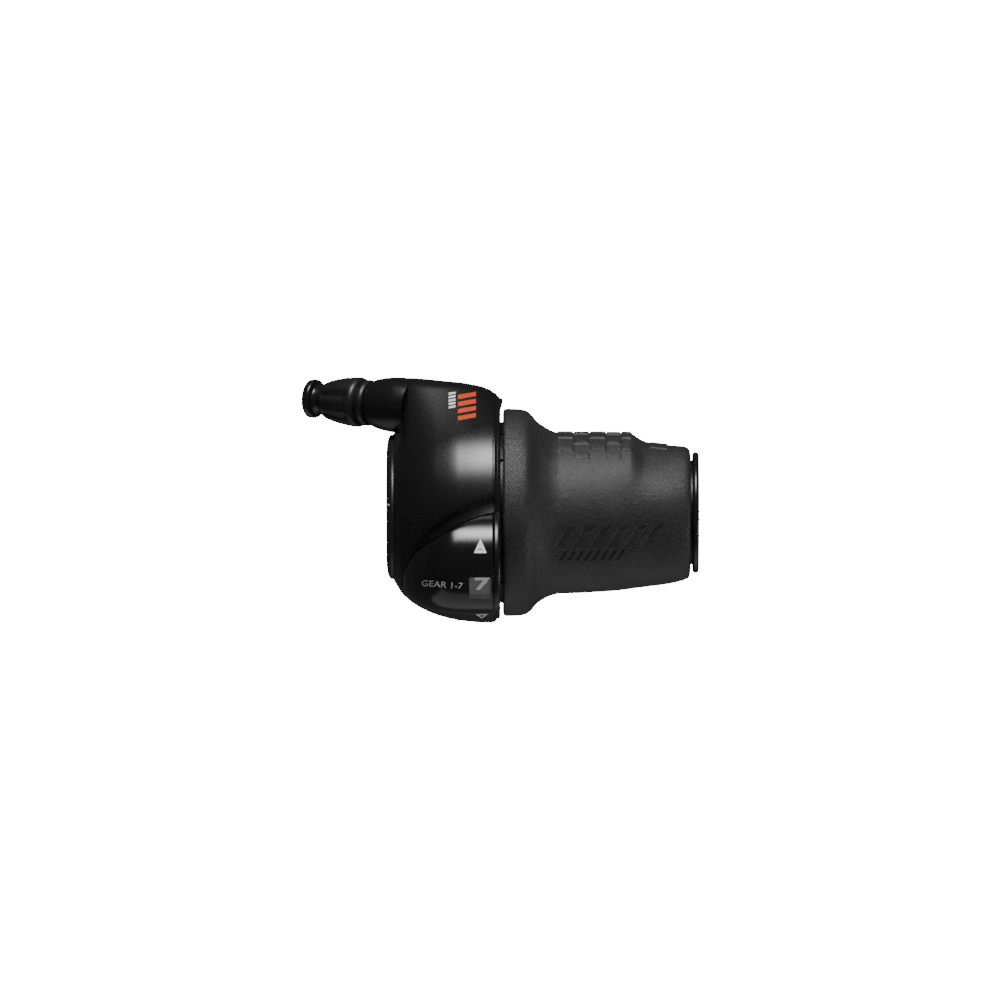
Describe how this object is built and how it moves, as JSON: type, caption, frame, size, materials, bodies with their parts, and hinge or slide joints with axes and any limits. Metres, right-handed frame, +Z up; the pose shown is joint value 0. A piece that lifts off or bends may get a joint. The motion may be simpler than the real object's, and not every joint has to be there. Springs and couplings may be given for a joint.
{
  "type": "twist-grip gear shifter",
  "caption": "Bicycle twist-grip gear shifter for a handlebar, with a bulged gear display, a barrel adjuster on its cable outlet and a flared rubber grip.",
  "frame": {"origin": "centre of the handlebar bore at its inboard end", "axes": "+X along the bar and outboard, +Y forward to the cable side, +Z up"},
  "size_m": [0.0994, 0.0613, 0.062],
  "materials": {
    "housing_gloss": "gloss black moulding with a soft satin bloom",
    "cover_satin": "satin black moulding",
    "display_gloss": "high gloss black",
    "window_clear": "smoked clear acrylic",
    "screw_steel": "zinc plated, darkened",
    "sleeve_nylon": "black glass-filled nylon",
    "collar_gloss": "gloss black",
    "band_steel": "stainless strip",
    "bolt_black": "black zinc steel",
    "insert_brass": "turned brass",
    "barrel_satin": "satin black",
    "ferrule_gloss": "gloss black anodised",
    "guide_acetal": "natural acetal",
    "plug_rubber": "soft black rubber",
    "ring_acetal": "dark grey acetal",
    "spring_steel": "blued spring steel",
    "core_nylon": "black nylon",
    "grip_rubber": "grained soft rubber",
    "number_ring": "dark grey, satin"
  },
  "bodies": {
    "housing": {"main_housing": "housing_gloss", "inboard_cover": "cover_satin", "cover_screws": "screw_steel", "display_cover": "display_gloss", "display_window": "window_clear", "bar_sleeve": "sleeve_nylon", "end_collar": "collar_gloss", "retaining_ring": "spring_steel", "clamp_band": "band_steel", "clamp_bolt": "bolt_black", "clamp_washer": "band_steel", "clamp_nut": "bolt_black", "adjuster_insert": "insert_brass", "cable_guide": "guide_acetal", "cable_access_plug": "plug_rubber", "detent_spring": "spring_steel", "detent_screw": "screw_steel"},
    "grip": {"grip_tube": "core_nylon", "rubber_grip": "grip_rubber", "cable_drum": "ring_acetal", "detent_ring": "ring_acetal", "indicator_ring": "number_ring"},
    "casing_end": {"casing_ferrule": "ferrule_gloss"},
    "adjuster": {"adjuster_barrel": "barrel_satin"}
  },
  "joints": [
    {"name": "grip_twist", "type": "hinge", "parent": "housing", "child": "grip", "pos_m": [0, 0, 0], "axis": [1, 0, 0], "range_deg": [-150, 0], "deforming": ["detent_spring"]},
    {"name": "adjuster_advance", "type": "slide", "parent": "housing", "child": "casing_end", "axis": [-0.8634, 0.0679, -0.5], "range_m": [0, 0.004]},
    {"name": "adjuster_turn", "type": "hinge", "parent": "casing_end", "child": "adjuster", "pos_m": [-0.0033, 0.02733, -0.00639], "axis": [-0.8634, 0.0679, -0.5], "range_deg": [0, 1440]}
  ],
  "couplings": [
    {"joint": "adjuster_turn", "follows": "adjuster_advance", "rad_per_m": 6283.2}
  ]
}
